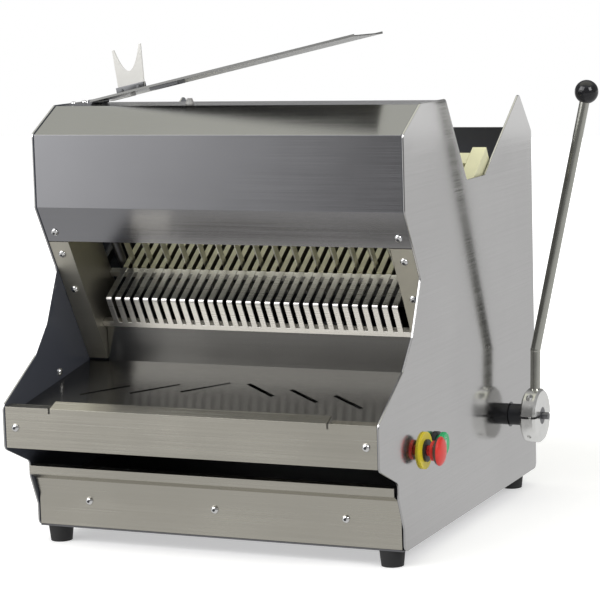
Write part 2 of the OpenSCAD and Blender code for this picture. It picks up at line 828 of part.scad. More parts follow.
module stop_stem() {
    stem_x = inner_x - barrel_l + stop_travel + body_gap;
    color([0.55, 0.05, 0.05]) across(stem_x, [stop_y, button_z], stop_stem_d, stop_seat - stem_x);
}
module stop_head() {
    dome_steps = 8;
    flare = 3;
    color([0.82, 0.06, 0.05]) translate([stop_seat, stop_y, button_z]) rotate([0, 90, 0]) rotate_extrude()
        polygon(concat(
            [[0, 0], [stop_neck_d / 2, 0], [stop_neck_d / 2, stop_neck_l - flare],
             [stop_d / 2 - flare / 2, stop_neck_l]],
            [for (i = [0:dome_steps]) [stop_d / 2 * cos(90 * i / dome_steps),
                                       stop_neck_l + flare + (stop_dome - flare) * sin(90 * i / dome_steps)]]
        ));
}
start_rim_t = 3;
start_travel = 4;
module start_housing() {
    rim_wall = 5;
    nut_wall = 7;
    color(black) difference() {
        union() {
            across(inner_x - barrel_l, [start_y, button_z], start_barrel_d, barrel_l + panel_t);
            across(panel_x, [start_y, button_z], start_d + 2 * rim_wall, start_rim_t);
            across(inner_x - barrel_l / 3, [start_y, button_z], start_d + 2 * nut_wall, barrel_l / 3);
        }
        across(inner_x - barrel_l / 2, [start_y, button_z], start_d + 2 * run_gap, barrel_l * 3);
    }
}
module start_button() {
    dome_steps = 5;
    edge_share = 0.8;
    dome_h = 2.5;
    cap_h = 6;
    start_x = inner_x - barrel_l / 2 + start_travel + body_gap;
    stem_l = panel_x + start_rim_t + start_travel + slide_gap - start_x;
    color([0.05, 0.55, 0.22]) translate([start_x, start_y, button_z]) rotate([0, 90, 0]) rotate_extrude()
        polygon(concat(
            [[0, 0], [start_d / 2, 0], [start_d / 2, stem_l], [start_cap_d / 2, stem_l]],
            [for (i = [0:dome_steps])
                [start_cap_d / 2 * (edge_share + (1 - edge_share) * cos(90 * i / dome_steps)),
                 stem_l + cap_h - dome_h * (1 - sin(90 * i / dome_steps))]],
            [[0, stem_l + cap_h]]
        ));
}
module switch_blocks() {
    block = [26, 30, 40];
    color(black) for (y = [stop_y, start_y])
        translate([inner_x - barrel_l - block.x, y - block.y / 2, button_z - block.z / 2]) cube(block);
}

// Bagging scoop and bag fork on top of the hood
hinge_in = 42;
hinge_back = 20;
hinge_x = hinge_in - inner_x;
hinge_y = chamfer_y + hinge_back;
hinge_d = 7;
hinge_pin_d = 3;
hinge_l = 50;
knuckle_l = 16;
leaf_l = 38;
leaf_t = 2;
hinge_z = hood_top_z + hinge_d / 2 + seat_gap;
scoop_back = 7;
scoop_front = chamfer_y + scoop_back;
scoop_t = 1.5;
scoop_lip = 3;
module along_y(y, d, l) {
    translate([hinge_x, y, hinge_z]) rotate([-90, 0, 0]) cylinder(d = d, h = l);
}
module scoop_hinge_leaf() {
    color(bright) difference() {
        union() {
            translate([hinge_x - leaf_l, hinge_y, hood_top_z]) cube([leaf_l - hinge_d / 2, hinge_l, leaf_t]);
            for (y = [hinge_y, hinge_y + hinge_l - knuckle_l]) {
                along_y(y, hinge_d, knuckle_l);
                translate([hinge_x - hinge_d, y, hood_top_z]) cube([hinge_d, knuckle_l, leaf_t]);
            }
        }
        along_y(hinge_y - cut, hinge_pin_d + run_gap, hinge_l + 2 * cut);
    }
}
module scoop_pin() {
    color(steel) along_y(hinge_y, hinge_pin_d, hinge_l);
}
module scoop_rest() {
    rest_reach = 138;
    rest_d = 12;
    rest_h = 7;
    rest_tip_share = 0.6;
    color(black) translate([hinge_x + rest_reach, hinge_y + hinge_l / 2, hood_top_z])
        cylinder(d1 = rest_d, d2 = rest_d * rest_tip_share, h = rest_h);
}
module at_scoop() {
    translate([hinge_x, 0, hinge_z]) rotate([0, -scoop_tilt, 0]) translate([0, 0, -scoop_t / 2]) children();
}
module bagging_scoop() {
    tongue = hinge_l - 2 * knuckle_l - 2 * seat_gap;
    tongue_y = hinge_y + knuckle_l + seat_gap;
    plate_start = hinge_d;
    tongue_start = (hinge_d + hinge_pin_d) / 4;
    tongue_t = 1;
    scoop_rear = scoop_front + scoop_d;
    color(bright) difference() {
        union() {
            along_y(tongue_y, hinge_d, tongue);
            at_scoop() {
                translate([tongue_start, tongue_y, (scoop_t - tongue_t) / 2])
                    cube([plate_start + cut - tongue_start, tongue, tongue_t]);
                slab(plate_start, scoop_l, sheet([
                    [scoop_front, scoop_lip], [scoop_front, 0], [scoop_rear, 0], [scoop_rear, scoop_lip]
                ], -scoop_t));
            }
        }
        along_y(tongue_y - cut, hinge_pin_d + 2 * run_gap, tongue + 2 * cut);
    }
}
module scoop_bracket() {
    bracket = [42, 24, 4];
    bracket_x = 98;
    bracket_y = scoop_front + scoop_lip;
    color(dark_paint) at_scoop() translate([bracket_x, bracket_y, -bracket.z]) cube(bracket);
}
module bag_fork() {
    fork_x = 45;
    fork_back = 53;
    fork_t = 2;
    foot_l = 12;
    waist_share = 0.88;
    valley_share = 0.48;
    fork_lean = 6;
    prong = 3;
    notch_steps = 8;
    half = fork_w / 2;
    waist = half * waist_share;
    valley = fork_h * valley_share;
    outline = concat(
        [[-waist, 0], [waist, 0], [half, fork_h]],
        [for (i = [notch_steps:-1:-notch_steps])
            [(half - prong) * i / notch_steps, valley + (fork_h - valley) * pow(i / notch_steps, 2)]],
        [[-half, fork_h]]
    );
    color([0.75, 0.75, 0.73]) at_scoop() translate([fork_x, scoop_front + fork_back, scoop_t]) union() {
        rotate([90, 0, 0]) translate([0, 0, -fork_t]) linear_extrude(fork_t)
            polygon([for (p = outline) [p.x + p.y * tan(fork_lean), p.y]]);
        translate([-waist, 0, 0]) cube([2 * waist, foot_l, fork_t]);
    }
}

// Crumb drawer
module drawer_front() {
    color(bright) difference() {
        slab(-drawer_x, 2 * drawer_x, sheet(drawer_face, drawer_skin));
        for (x = drawer_screw_xs) hole_on(x, drawer_screw, [-1, 0]);
    }
}
module drawer_screws() {
    stud_l = drawer_skin - seat_gap;
    color(bright) for (x = drawer_screw_xs) on_face(x, drawer_screw, [-1, 0]) dome_screw(stud_l);
}
module crumb_drawer() {
    box_y = drawer_skin;
    floor_z = sheet_t + slide_gap;
    side_gap = 4;
    box_x = drawer_x - side_gap;
    color(steel) difference() {
        translate([-box_x, box_y, floor_z]) cube([2 * box_x, drawer_d, drawer_h]);
        translate([drawer_skin - box_x, box_y + drawer_skin, floor_z + drawer_skin])
            cube([2 * (box_x - drawer_skin), drawer_d - 2 * drawer_skin, drawer_h]);
    }
}

// Blade frames: two bars, two guide rods and two yokes around the eccentrics
ecc_inset = 54;
ecc_pitch = 38;
ecc_xs = [plate_x - ecc_inset - ecc_pitch, plate_x - ecc_inset];
ecc_t = 12;
yoke_t = 10;
yoke_bore = ecc_d + 4 * crank_throw + 2 * body_gap;
yoke_rim = 9;
module blade_frame(s, ecc_x) {
    bar_x = guide_rod_x + rod_d / 2;
    web_inset = 1;
    web_w = bar_w - 2 * web_inset;
    rod_low = -guide_low_n - guide_h - crank_throw - guide_wall;
    bar_front = s - bar_w / 2;
    feed() {
        for (n = [-frame_low_n, frame_top_n - bar_h])
            slab(-bar_x, 2 * bar_x, [[bar_front, n], [bar_front + bar_w, n],
                                     [bar_front + bar_w, n + bar_h], [bar_front, n + bar_h]]);
        both() {
            translate([guide_rod_x, s, rod_low]) cylinder(d = rod_d, h = frame_top_n - bar_h - rod_low + cut);
            difference() {
                union() {
                    across(ecc_x - yoke_t / 2, [crank_s, -crank_n], yoke_bore + 2 * yoke_rim, yoke_t);
                    slab(ecc_x - yoke_t / 2, yoke_t, [
                        [s - web_w / 2, -crank_n], [s + web_w / 2, -crank_n],
                        [s + web_w / 2, cut - frame_low_n], [s - web_w / 2, cut - frame_low_n]
                    ]);
                }
                across(ecc_x - yoke_t, [crank_s, -crank_n], yoke_bore, 2 * yoke_t);
            }
        }
    }
}
module blade_row(s, first) {
    feed() for (i = [first:2:len(blade_xs) - 1])
        slab(blade_xs[i] - blade_t / 2, blade_t, [
            [s - blade_w / 2, bar_h - frame_low_n], [s + blade_w / 2, bar_h - frame_low_n],
            [s + blade_w / 2, frame_top_n - bar_h], [s - blade_w / 2, frame_top_n - bar_h]
        ]);
}
module blade_frame_a() { color(steel) blade_frame(row_s, ecc_xs[1]); }
module blade_frame_b() { color(steel) blade_frame(row_b_s, ecc_xs[0]); }
module blades_a() { color(bright) blade_row(row_s, 0); }
module blades_b() { color(bright) blade_row(row_b_s, 1); }

// Crankshaft and belt drive
module crankshaft() {
    shaft_l = plate_x + plate_t;
    color(steel) across(-shaft_l, crank_point, crank_d, 2 * shaft_l);
}
module eccentric(x, side) {
    feed() translate([x - ecc_t / 2, crank_s, -crank_n]) rotate([0, 90, 0]) difference() {
        translate([0, side * crank_throw, 0]) cylinder(d = ecc_d, h = ecc_t);
        translate([0, 0, -cut]) cylinder(d = crank_d + run_gap, h = ecc_t + 2 * cut);
    }
}
module eccentrics() {
    color(dark_paint) for (x = [-1, 1]) {
        eccentric(x * ecc_xs[0], -1);
        eccentric(x * ecc_xs[1], 1);
    }
}
module pulley(p, d, bore) {
    flange = 3;
    taper = 1;
    groove = d / 2 - belt_seat;
    color(steel) translate([pulley_x, p.x, p.y]) rotate([0, 90, 0]) rotate_extrude() polygon([
        [bore / 2, 0], [d / 2, 0], [d / 2, flange], [groove, flange + taper],
        [groove, pulley_w - flange - taper], [d / 2, pulley_w - flange], [d / 2, pulley_w],
        [bore / 2, pulley_w]
    ]);
}
module crank_pulley() { pulley(crank_point, pulley_big, crank_d + run_gap); }
motor_shaft_d = 19;
module motor_shaft() {
    color(bright) across(pulley_x, motor_point, motor_shaft_d, motor_x - pulley_x + motor_l / 4);
}
module motor_pulley() { pulley(motor_point, pulley_small, motor_shaft_d + run_gap); }

// Lever, shaft and pusher
sleeve_wall = 3;
hub_x = panel_x + body_gap / 2 + sleeve_l;
module at_lever() {
    translate([0, lever_y, lever_z]) rotate([-lever_lean, 0, 0]) children();
}
module lever_shaft() {
    shaft_end = hub_x + hub_t;
    stub_d = 10;
    stub_l = 9;
    color(bright) union() {
        across(-panel_x, [lever_y, lever_z], lever_d, panel_x + shaft_end);
        across(shaft_end - cut, [lever_y, lever_z], stub_d, stub_l + cut);
    }
}
module lever_sleeve() {
    sleeve_d = lever_d + 2 * sleeve_wall;
    color(black) ring(panel_x + body_gap / 2, [lever_y, lever_z], sleeve_d, lever_d + run_gap, sleeve_l);
}
socket_depth = 22;
rod_socket = hub_d / 2 - socket_depth;
hub_screw_share = 0.34;
hub_screw_y = hub_d * hub_screw_share;
hub_seat_share = 0.3;
hub_seat = hub_d * hub_seat_share;
hub_head = 9;
module lever_hub() {
    split_h = 3;
    chamfer = 3;
    color(bright) at_lever() difference() {
        translate([hub_x, 0, 0]) rotate([0, 90, 0]) rotate_extrude() polygon([
            [0, 0], [hub_d / 2 - chamfer, 0], [hub_d / 2, chamfer], [hub_d / 2, hub_t - chamfer],
            [hub_d / 2 - chamfer, hub_t], [0, hub_t]
        ]);
        translate([hub_x - cut, 0, 0]) rotate([0, 90, 0])
            cylinder(d = lever_d + run_gap, h = hub_t + 2 * cut);
        translate([hub_x - cut, -hub_d, -split_h / 2]) cube([hub_t + 2 * cut, 2 * hub_d, split_h]);
        translate([hub_x + hub_t / 2, 0, rod_socket]) cylinder(d = lever_rod_d + run_gap, h = hub_d);
        for (y = [-hub_screw_y, hub_screw_y]) translate([hub_x + hub_t / 2, y, -hub_d])
            cylinder(d = screw_hole, h = 2 * hub_d);
        for (y = [-hub_screw_y, hub_screw_y]) translate([hub_x + hub_t / 2, y, hub_seat])
            cylinder(d = hub_head + 2 * seat_gap, h = hub_d);
    }
}
module hub_screws() {
    color(dark_paint) at_lever() for (y = [-hub_screw_y, hub_screw_y])
        translate([hub_x + hub_t / 2, y, -hub_seat]) {
            cylinder(d = screw_d, h = 2 * hub_seat);
            translate([0, 0, 2 * hub_seat]) cylinder(d = hub_head, h = screw_d);
        }
}
bend_bead = 0.3;
module at_bend() {
    at_lever() translate([hub_x + hub_t / 2, 0, lever_bend_h]) rotate([0, lever_splay, 0]) children();
}
module lever_rod() {
    color(bright) union() {
        at_lever() translate([hub_x + hub_t / 2, 0, rod_socket])
            cylinder(d = lever_rod_d, h = lever_bend_h - rod_socket);
        at_bend() {
            sphere(d = lever_rod_d + 2 * bend_bead);
            cylinder(d = lever_rod_d, h = lever_l);
        }
    }
}
module lever_knob() {
    seat_share = 0.9;
    color(black) at_bend() translate([0, 0, lever_l + knob_d / 2 * seat_share]) difference() {
        sphere(d = knob_d);
        translate([0, 0, -knob_d / 2 * (1 + seat_share)]) cube([knob_d, knob_d, knob_d], center = true);
    }
}
roller_d = 20;
slot_clear = 2.4;
module at_arm() {
    feed() translate([0, shaft_s, shaft_n]) rotate([-arm_swing, 0, 0]) children();
}
module drive_arms() {
    boss_wall = 10;
    boss_d = lever_d + 2 * boss_wall;
    arm_w = 26;
    boss_t = 14;
    color(dark_paint) at_arm() both() difference() {
        union() {
            across(arm_x - boss_t + arm_t, [0, 0], boss_d, boss_t);
            across(arm_x, [0, arm_l], arm_w, arm_t);
            translate([arm_x, -arm_w / 2, 0]) cube([arm_t, arm_w, arm_l]);
        }
        across(arm_x - boss_t, [0, 0], lever_d + run_gap, 2 * boss_t);
    }
}
module arm_rollers() {
    color(steel) at_arm() both()
        across(arm_x + arm_t, [0, arm_l], roller_d, arm_gap + cheek_t - rail_w);
}
push_bar = 22;
push_fingers = 58;
push_behind = 67;
push_rear = pin_s + push_behind;
push_lift = body_gap;
cap_w = 8;
module pusher_comb() {
    bar_front = push_rear - push_bar;
    tip_drop_share = 0.6;
    color(cream) feed() {
        slab(cap_w - cheek_x, 2 * (cheek_x - cap_w), [[bar_front, push_lift], [push_rear, push_lift],
                                                [push_rear, push_h], [bar_front, push_h]]);
        for (x = finger_xs) slab(x - finger_w / 2, finger_w, [
            [bar_front - push_fingers, push_lift], [bar_front + cut, push_lift], [bar_front + cut, push_h],
            [bar_front - push_fingers, push_h * tip_drop_share]
        ]);
    }
}
module pusher_cheeks() {
    leg_half = 26;
    slot_half = roller_d / 2 + slot_clear;
    slot_low = pin_n - roller_d / 2 - slot_clear;
    slot_high = shaft_n + arm_l + roller_d / 2 + slot_clear;
    web = 11;
    leg_low = slot_low - web;
    beam_low = rail_n - web;
    color(cream) feed() both() difference() {
        union() {
            slab(cheek_x - cap_w, cap_w + cut, [
                [cheek_front, push_lift], [cheek_rear, push_lift], [cheek_rear, push_h], [cheek_front, push_h]
            ]);
            slab(cheek_x, cheek_t, [
                [cheek_front, beam_low], [pin_s - leg_half, beam_low], [pin_s - leg_half, leg_low],
                [pin_s + leg_half, leg_low], [pin_s + leg_half, beam_low], [cheek_rear, beam_low],
                [cheek_rear, push_h], [cheek_front, push_h]
            ]);
        }
        translate([cheek_x - cut, pin_s - slot_half, slot_low])
            cube([cheek_t + 2 * cut, 2 * slot_half, slot_high - slot_low]);
        translate([inner_x - rail_w - slide_gap, cheek_front - cut, rail_n - slide_gap])
            cube([rail_w, cheek_rear - cheek_front + 2 * cut, rail_h + 2 * slide_gap]);
    }
}

in_casing() left_side_panel();
in_casing() right_side_panel();
in_casing() base_plate();
in_casing() feet();
in_casing() rear_cover();
in_casing() rear_guard();
in_casing() front_hood();
in_casing() left_post();
in_casing() right_post();
in_casing() front_rail();
in_casing() outfeed_tray();
in_casing() outfeed_comb();
in_casing() bread_bed();
in_casing() dome_screws();
in_casing() left_drive_plate();
in_casing() right_drive_plate();
in_casing() frame_guides();
in_casing() pusher_rails();
in_casing() crank_bearings();
in_casing() lever_bearings();
in_casing() motor_shelf();
in_casing() motor_body();
in_casing() drive_belt();
in_casing() control_box();
in_casing() cable_gland();
in_casing() stop_collar();
in_casing() stop_housing();
in_casing() start_housing();
in_casing() switch_blocks();
in_casing() scoop_hinge_leaf();
in_casing() scoop_pin();
in_casing() scoop_rest();
in_casing() bag_fork();
in_casing() crumb_drawer();
in_casing() drawer_front();
in_casing() drawer_screws();
in_casing() blade_frame_a();
in_casing() blades_a();
in_casing() blade_frame_b();
in_casing() blades_b();
in_casing() crankshaft();
in_casing() eccentrics();
in_casing() crank_pulley();
in_casing() motor_shaft();
in_casing() motor_pulley();
in_casing() lever_shaft();
in_casing() lever_sleeve();
in_casing() lever_hub();
in_casing() hub_screws();
in_casing() lever_rod();
in_casing() lever_knob();
in_casing() drive_arms();
in_casing() arm_rollers();
in_casing() pusher_comb();
in_casing() pusher_cheeks();
in_casing() stop_stem();
in_casing() stop_head();
in_casing() start_button();
in_casing() bagging_scoop();
in_casing() scoop_bracket();
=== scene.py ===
"""Looks of the table-top bread slicer: finishes, softened sheet edges and small fittings."""
import json
import math

import bmesh
import bpy
import numpy
from mathutils import Matrix, Vector


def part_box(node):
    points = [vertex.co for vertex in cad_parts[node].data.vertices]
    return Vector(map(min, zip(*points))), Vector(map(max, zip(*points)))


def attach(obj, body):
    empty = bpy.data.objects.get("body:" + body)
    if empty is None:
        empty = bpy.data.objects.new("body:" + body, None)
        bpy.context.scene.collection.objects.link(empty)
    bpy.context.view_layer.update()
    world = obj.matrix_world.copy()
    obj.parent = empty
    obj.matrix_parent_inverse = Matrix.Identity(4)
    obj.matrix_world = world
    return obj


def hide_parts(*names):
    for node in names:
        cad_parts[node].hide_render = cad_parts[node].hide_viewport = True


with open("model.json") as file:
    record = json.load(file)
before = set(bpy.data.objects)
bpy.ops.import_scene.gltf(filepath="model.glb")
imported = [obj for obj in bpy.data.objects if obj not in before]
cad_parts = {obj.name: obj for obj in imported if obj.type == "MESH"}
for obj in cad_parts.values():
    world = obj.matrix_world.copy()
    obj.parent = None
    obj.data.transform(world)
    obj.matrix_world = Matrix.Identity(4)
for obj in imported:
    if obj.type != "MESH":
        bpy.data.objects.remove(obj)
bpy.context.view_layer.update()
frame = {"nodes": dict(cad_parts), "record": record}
NODES = frame["nodes"]
BODY_OF = {n: b for b, ns in frame["record"]["behaviour"]["bodies"].items() for n in ns}
SLOT_OF = {s["node"]: s["material_slot"] for s in frame["record"]["subparts"]}
MM = 0.001

# Camera: where the photograph was taken from, in the row frame
CAMERA_AT = Vector((1.32195, -2.97830, 0.74914))
CAMERA_FORWARD = Vector((-0.39875, 0.90678, -0.13695))
CAMERA_UP = Vector((-0.02820, 0.13714, 0.99015))
CAMERA_LENS = 141.9
SENSOR = 36.0


def add_camera():
    data = bpy.data.cameras.new("camera")
    data.sensor_fit = "HORIZONTAL"
    data.sensor_width = SENSOR
    data.lens = CAMERA_LENS
    data.clip_end = 50
    camera = bpy.data.objects.new("camera", data)
    back = -CAMERA_FORWARD.normalized()
    right = CAMERA_UP.cross(back).normalized()
    up = back.cross(right)
    turn = Matrix((right, up, back)).transposed().to_4x4()
    camera.matrix_world = Matrix.Translation(CAMERA_AT) @ turn
    bpy.context.scene.collection.objects.link(camera)
    bpy.context.scene.camera = camera


# Node graphs
class Graph:
    """Short calls for adding nodes to a material's or a world's tree."""

    def __init__(self, tree):
        self.tree = tree

    def add(self, kind, **settings):
        node = self.tree.nodes.new(kind)
        for key, value in settings.items():
            setattr(node, key, value)
        return node

    def link(self, source, target):
        self.tree.links.new(source, target)

    def math(self, operation, first, second):
        node = self.add("ShaderNodeMath", operation=operation)
        for socket, value in zip(node.inputs, (first, second)):
            if isinstance(value, (int, float)):
                socket.default_value = value
            else:
                self.link(value, socket)
        return node.outputs[0]

    def ranged(self, value, low, high, start=0.3, end=0.7, smooth=False):
        node = self.add("ShaderNodeMapRange", interpolation_type="SMOOTHSTEP" if smooth else "LINEAR")
        for key, number in (("From Min", start), ("From Max", end), ("To Min", low), ("To Max", high)):
            node.inputs[key].default_value = number
        self.link(value, node.inputs["Value"])
        return node.outputs["Result"]

    def split(self, vector):
        node = self.add("ShaderNodeSeparateXYZ")
        self.link(vector, node.inputs[0])
        return node.outputs


class Shader(Graph):
    """A material with a Principled shader."""

    def __init__(self, name, color, roughness, metallic=0.0, **sockets):
        self.material = bpy.data.materials.new(name)
        self.material.use_nodes = True
        super().__init__(self.material.node_tree)
        self.bsdf = self.tree.nodes["Principled BSDF"]
        self.name = name
        self.rgb = color
        self.set("Base Color", (*color, 1.0))
        self.set("Roughness", roughness)
        self.set("Metallic", metallic)
        for key, value in sockets.items():
            self.set(key.replace("_", " ").title(), value)

    def set(self, socket, value):
        self.bsdf.inputs[socket].default_value = value

    def drive(self, socket, value):
        self.link(value, self.bsdf.inputs[socket])

    def noise(self, scale, detail=3.0):
        place = self.add("ShaderNodeTexCoord")
        mapping = self.add("ShaderNodeMapping")
        mapping.inputs["Scale"].default_value = scale
        self.link(place.outputs["Object"], mapping.inputs["Vector"])
        node = self.add("ShaderNodeTexNoise")
        node.inputs["Scale"].default_value = 1.0
        node.inputs["Detail"].default_value = detail
        self.link(mapping.outputs["Vector"], node.inputs["Vector"])
        return node.outputs["Fac"]

    def mix(self, factor, first, second):
        """Colour from first to second; each is a colour or a socket."""
        node = self.add("ShaderNodeMix", data_type="RGBA")
        colors = [s for s in node.inputs if s.type == "RGBA"]
        self.link(factor, node.inputs["Factor"])
        for socket, value in zip(colors, (first, second)):
            if isinstance(value, tuple):
                socket.default_value = (*value, 1.0)
            else:
                self.link(value, socket)
        return [s for s in node.outputs if s.type == "RGBA"][0]

    def tint(self, value, dark, light):
        """Base colour between two shares of the material's colour, by a value from 0 to 1."""
        shades = [tuple(min(1.0, c * share) for c in self.rgb) for share in (dark, light)]
        self.tinted = self.mix(value, *shades)
        self.drive("Base Color", self.tinted)

    def facing(self, axis):
        """How far a face looks along a world axis, from -1 to 1."""
        return self.split(self.add("ShaderNodeNewGeometry").outputs["True Normal"])[axis]

    def repaint(self, where, color):
        """Another base colour where a value reaches 1."""
        self.drive("Base Color", self.mix(where, self.tinted, color))

    def bump(self, height, strength, distance):
        node = self.add("ShaderNodeBump")
        node.inputs["Strength"].default_value = strength
        node.inputs["Distance"].default_value = distance
        self.link(height, node.inputs["Height"])
        self.drive("Normal", node.outputs["Normal"])


GRAIN_ALONG = 5.0
GRAIN_ACROSS = 900.0
PATCH_SCALE = [6.0] * 3
PEEL_SCALE = [900.0] * 3
MOULD_SCALE = [24.0] * 3
PLATED_SCALE = [60.0] * 3
FINE_BUMP = 0.05 * MM


def brushed_steel(name, color, roughness, grain_axis, spread=0.04, grain_bump=0.03, anisotropic=0.0):
    """Sheet steel with fine grain along one axis and faint handling patches."""
    shader = Shader(name, color, roughness, metallic=1.0, anisotropic=anisotropic)
    if anisotropic:
        around = shader.add("ShaderNodeTangent", direction_type="RADIAL", axis=grain_axis)
        shader.drive("Tangent", around.outputs["Tangent"])
    scale = [GRAIN_ACROSS] * 3
    scale["XYZ".index(grain_axis)] = GRAIN_ALONG
    grain = shader.noise(scale, detail=3.0)
    patch = shader.noise(PATCH_SCALE, detail=4.0)
    rough = shader.math("ADD", shader.ranged(grain, roughness - spread, roughness + spread),
                        shader.ranged(patch, -spread / 2, spread / 2))
    shader.drive("Roughness", rough)
    blend = shader.math("ADD", shader.ranged(grain, 0, 0.5), shader.ranged(patch, 0, 0.5, smooth=True))
    shader.tint(blend, 0.94, 1.05)
    shader.bump(grain, grain_bump, FINE_BUMP)
    return shader


# Painted shade for the inner faces of the side panels and the rear cover
PANEL_INSIDE_SHADE = (0.078, 0.084, 0.104)
COVER_INSIDE_SHADE = (0.030, 0.031, 0.036)
# Painted shade for the back of the stop button
BUTTON_BACK_SHADE = (0.075, 0.075, 0.085)
# Painted shade for the walls of the bed's blade slots
SLOT_WALL_SHADE = (0.06, 0.055, 0.035)
DARK_PAINT = (0.150, 0.152, 0.158)


def shade_inside(shader, axis, color):
    """Painted shade: a dark blue-black, non-metallic colour on the faces that look towards the machine's
    middle along one axis, where shade falls inside the casing.
    """
    place = shader.split(shader.add("ShaderNodeNewGeometry").outputs["Position"])[axis]
    outward = shader.math("MULTIPLY", place, shader.facing(axis))
    inside = shader.ranged(outward, 1.0, 0.0, start=-0.1, end=-0.05)
    shader.repaint(inside, color)
    shader.drive("Metallic", shader.math("SUBTRACT", 1.0, inside))
    return shader


def shade_back(shader, color):
    """Painted shade: dark grey on the faces that look back at the right side panel, which stand in shadow.
    """
    shader.repaint(shader.ranged(shader.facing("X"), 1.0, 0.0, start=-0.35, end=-0.15), color)
    return shader


def shade_slots(shader, color):
    """Painted shade on the walls in the bed's blade slots, which are the faces that look along X."""
    across = shader.math("ABSOLUTE", shader.facing("X"), 0.0)
    shader.repaint(shader.ranged(across, 0.0, 1.0, start=0.7, end=0.9), color)
    return shader


def painted(name, color, roughness):
    """Satin metallic paint with a fine peel and slight unevenness of gloss."""
    shader = Shader(name, color, roughness, metallic=1.0)
    skin = shader.noise(PEEL_SCALE, detail=2.0)
    patch = shader.noise(PATCH_SCALE, detail=4.0)
    shader.drive("Roughness", shader.ranged(patch, roughness - 0.03, roughness + 0.04, smooth=True))
    shader.tint(shader.ranged(patch, 0, 1, smooth=True), 0.95, 1.05)
    shader.bump(skin, 0.05, FINE_BUMP)
    return shader


def plastic(name, color, roughness, texture=1400.0, depth=0.1):
    """Moulded plastic or rubber with a fine surface texture."""
    shader = Shader(name, color, roughness)
    skin = shader.noise([texture] * 3, detail=2.0)
    patch = shader.noise(MOULD_SCALE, detail=3.0)
    shader.drive("Roughness", shader.ranged(patch, roughness - 0.04, roughness + 0.06))
    shader.tint(shader.ranged(patch, 0, 1), 0.93, 1.05)
    shader.bump(skin, depth, 2 * FINE_BUMP)
    return shader


def plated(name, color, roughness):
    """Plated or turned metal."""
    shader = Shader(name, color, roughness, metallic=1.0)
    patch = shader.noise(PLATED_SCALE, detail=3.0)
    shader.drive("Roughness", shader.ranged(patch, roughness - 0.04, roughness + 0.04))
    shader.tint(shader.ranged(patch, 0, 1), 0.95, 1.04)
    return shader


FINISHES = [
    # panel_steel: painted shade, dark and not metallic, on the faces inside the casing
    shade_inside(brushed_steel("panel_steel", (0.52, 0.515, 0.51), 0.12, "Y", spread=0.03, grain_bump=0.02),
          "X", PANEL_INSIDE_SHADE),
    brushed_steel("bright_steel", (0.54, 0.52, 0.45), 0.46, "X"),
    brushed_steel("rail_steel", (0.50, 0.48, 0.42), 0.24, "X", anisotropic=0.5),
    brushed_steel("tray_steel", (0.25, 0.245, 0.232), 0.21, "X", spread=0.02, anisotropic=0.85),
    brushed_steel("comb_steel", (0.90, 0.88, 0.84), 0.30, "X"),
    brushed_steel("scoop_steel", (0.32, 0.32, 0.31), 0.24, "X"),
    brushed_steel("hood_steel", (0.290, 0.290, 0.303), 0.18, "X", anisotropic=0.6),
    painted("dark_paint", DARK_PAINT, 0.26),
    # cover_paint: painted shade on the faces inside the rear cover and the rear guard
    shade_inside(painted("cover_paint", DARK_PAINT, 0.26), "Y", COVER_INSIDE_SHADE),
    brushed_steel("inner_steel", (0.20, 0.20, 0.21), 0.40, "X"),
    brushed_steel("blade_steel", (0.86, 0.85, 0.80), 0.34, "Z"),
    plated("chromed", (0.80, 0.80, 0.80), 0.10),
    plated("rod_steel", (0.45, 0.45, 0.41), 0.16),
    plated("aluminium", (0.84, 0.84, 0.82), 0.22),
    plastic("cream_plastic", (0.76, 0.74, 0.48), 0.40),
    # Painted light: the bed's cream is a lighter copy of cream_plastic, standing for more light under the
    # hood
    # The bed's slot walls carry painted shade
    shade_slots(plastic("lit_bed_plastic", (0.93, 0.90, 0.62), 0.34), SLOT_WALL_SHADE),
    plastic("black_plastic", (0.018, 0.019, 0.024), 0.38),
    plastic("gloss_black", (0.010, 0.010, 0.012), 0.10, depth=0.02),
    plastic("rubber", (0.016, 0.016, 0.017), 0.65, texture=700.0, depth=0.25),
    # red_plastic: painted shade on the button's back, which looks at the side panel
    shade_back(plastic("red_plastic", (0.72, 0.035, 0.025), 0.28), BUTTON_BACK_SHADE),
    plastic("yellow_plastic", (0.83, 0.68, 0.03), 0.38),
    plastic("green_plastic", (0.02, 0.45, 0.15), 0.26),
    plastic("fork_plastic", (0.70, 0.69, 0.66), 0.35),
]
MATERIALS = {shader.name: shader.material for shader in FINISHES}

# Nodes whose surface differs from the rest of their slot
OWN_FINISH = {
    "outfeed_comb": "comb_steel", "bagging_scoop": "scoop_steel", "lever_rod": "rod_steel",
    "bread_bed": "lit_bed_plastic", "front_hood": "hood_steel", "rear_cover": "cover_paint",
    "rear_guard": "cover_paint",
}


def finish_of(node):
    return MATERIALS[OWN_FINISH.get(node, SLOT_OF[node])]


def dress(obj, material):
    obj.data.materials.clear()
    obj.data.materials.append(material)


def dress_nodes():
    for name, obj in NODES.items():
        dress(obj, finish_of(name))


# Sheet parts with softened edges, made from their own solids
EDGE_ANGLE = math.radians(28)
FLAT_ANGLE = math.radians(1)
WELD = 0.01 * MM


